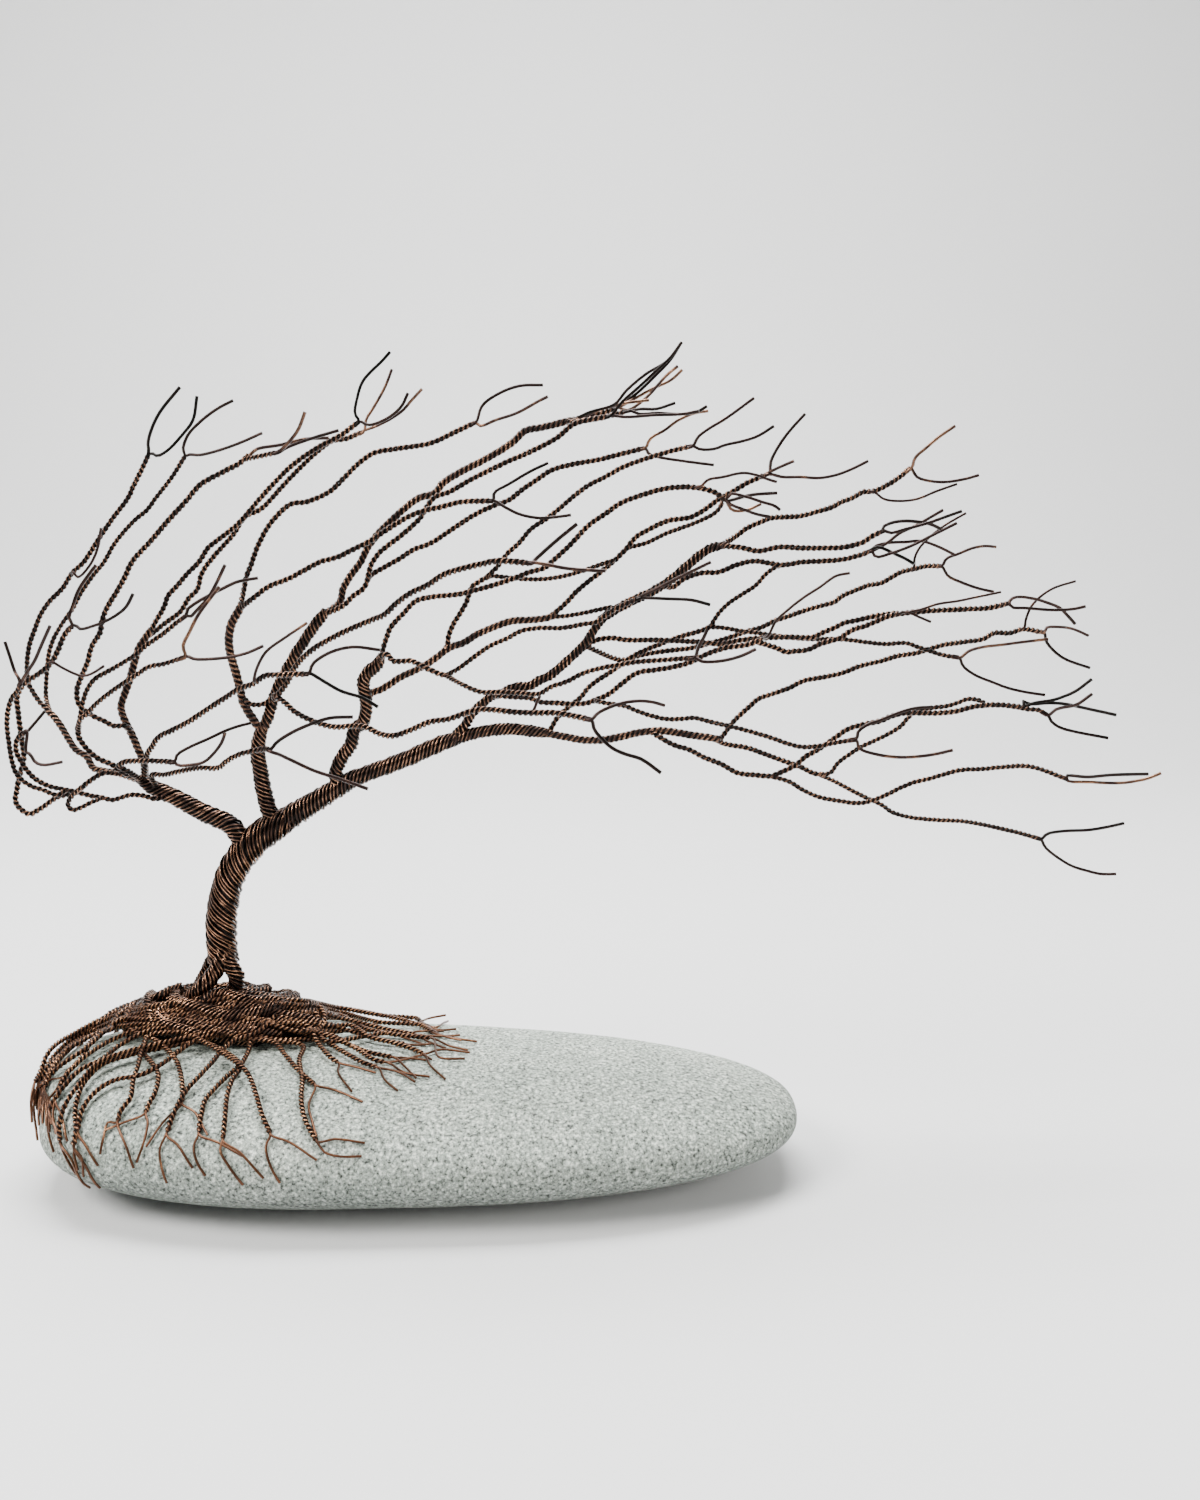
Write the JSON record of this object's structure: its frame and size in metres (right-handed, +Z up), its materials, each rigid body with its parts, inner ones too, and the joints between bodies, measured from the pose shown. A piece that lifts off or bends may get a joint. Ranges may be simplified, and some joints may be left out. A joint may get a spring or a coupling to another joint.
{
  "type": "windswept twisted-wire tree sculpture",
  "caption": "Windswept tree twisted from thin copper wire, its roots spread and clamped over the left half of a flat oval beach pebble that serves as its base",
  "frame": {"origin": "middle of the pebble's flat foot, on the surface that it stands on", "axes": "+Z up, +X the way the tree leans and the long way of the pebble, +Y away from the front"},
  "size_m": [0.2234, 0.066, 0.1613],
  "materials": {
    "pebble_stone": "matt natural stone, light greenish grey with a fine pale and dark grain",
    "copper_roots": "twisted copper wire, brown patina with warm bright edges",
    "copper_trunk": "twisted copper wire, dark brown patina, polished where the strands stand proud",
    "copper_branches": "twisted copper wire, dark brown patina, grey brown towards the tips"
  },
  "bodies": {
    "root": {"pebble": "pebble_stone", "roots": "copper_roots", "trunk": "copper_trunk", "left_limb": "copper_branches", "left_outer_limb": "copper_branches", "left_inner_limb": "copper_branches", "middle_limb": "copper_branches", "middle_fork_limb": "copper_branches", "right_limb": "copper_branches", "right_upper_limb": "copper_branches", "right_middle_limb": "copper_branches", "right_low_limb": "copper_branches", "right_back_limb": "copper_branches"}
  },
  "joints": []
}
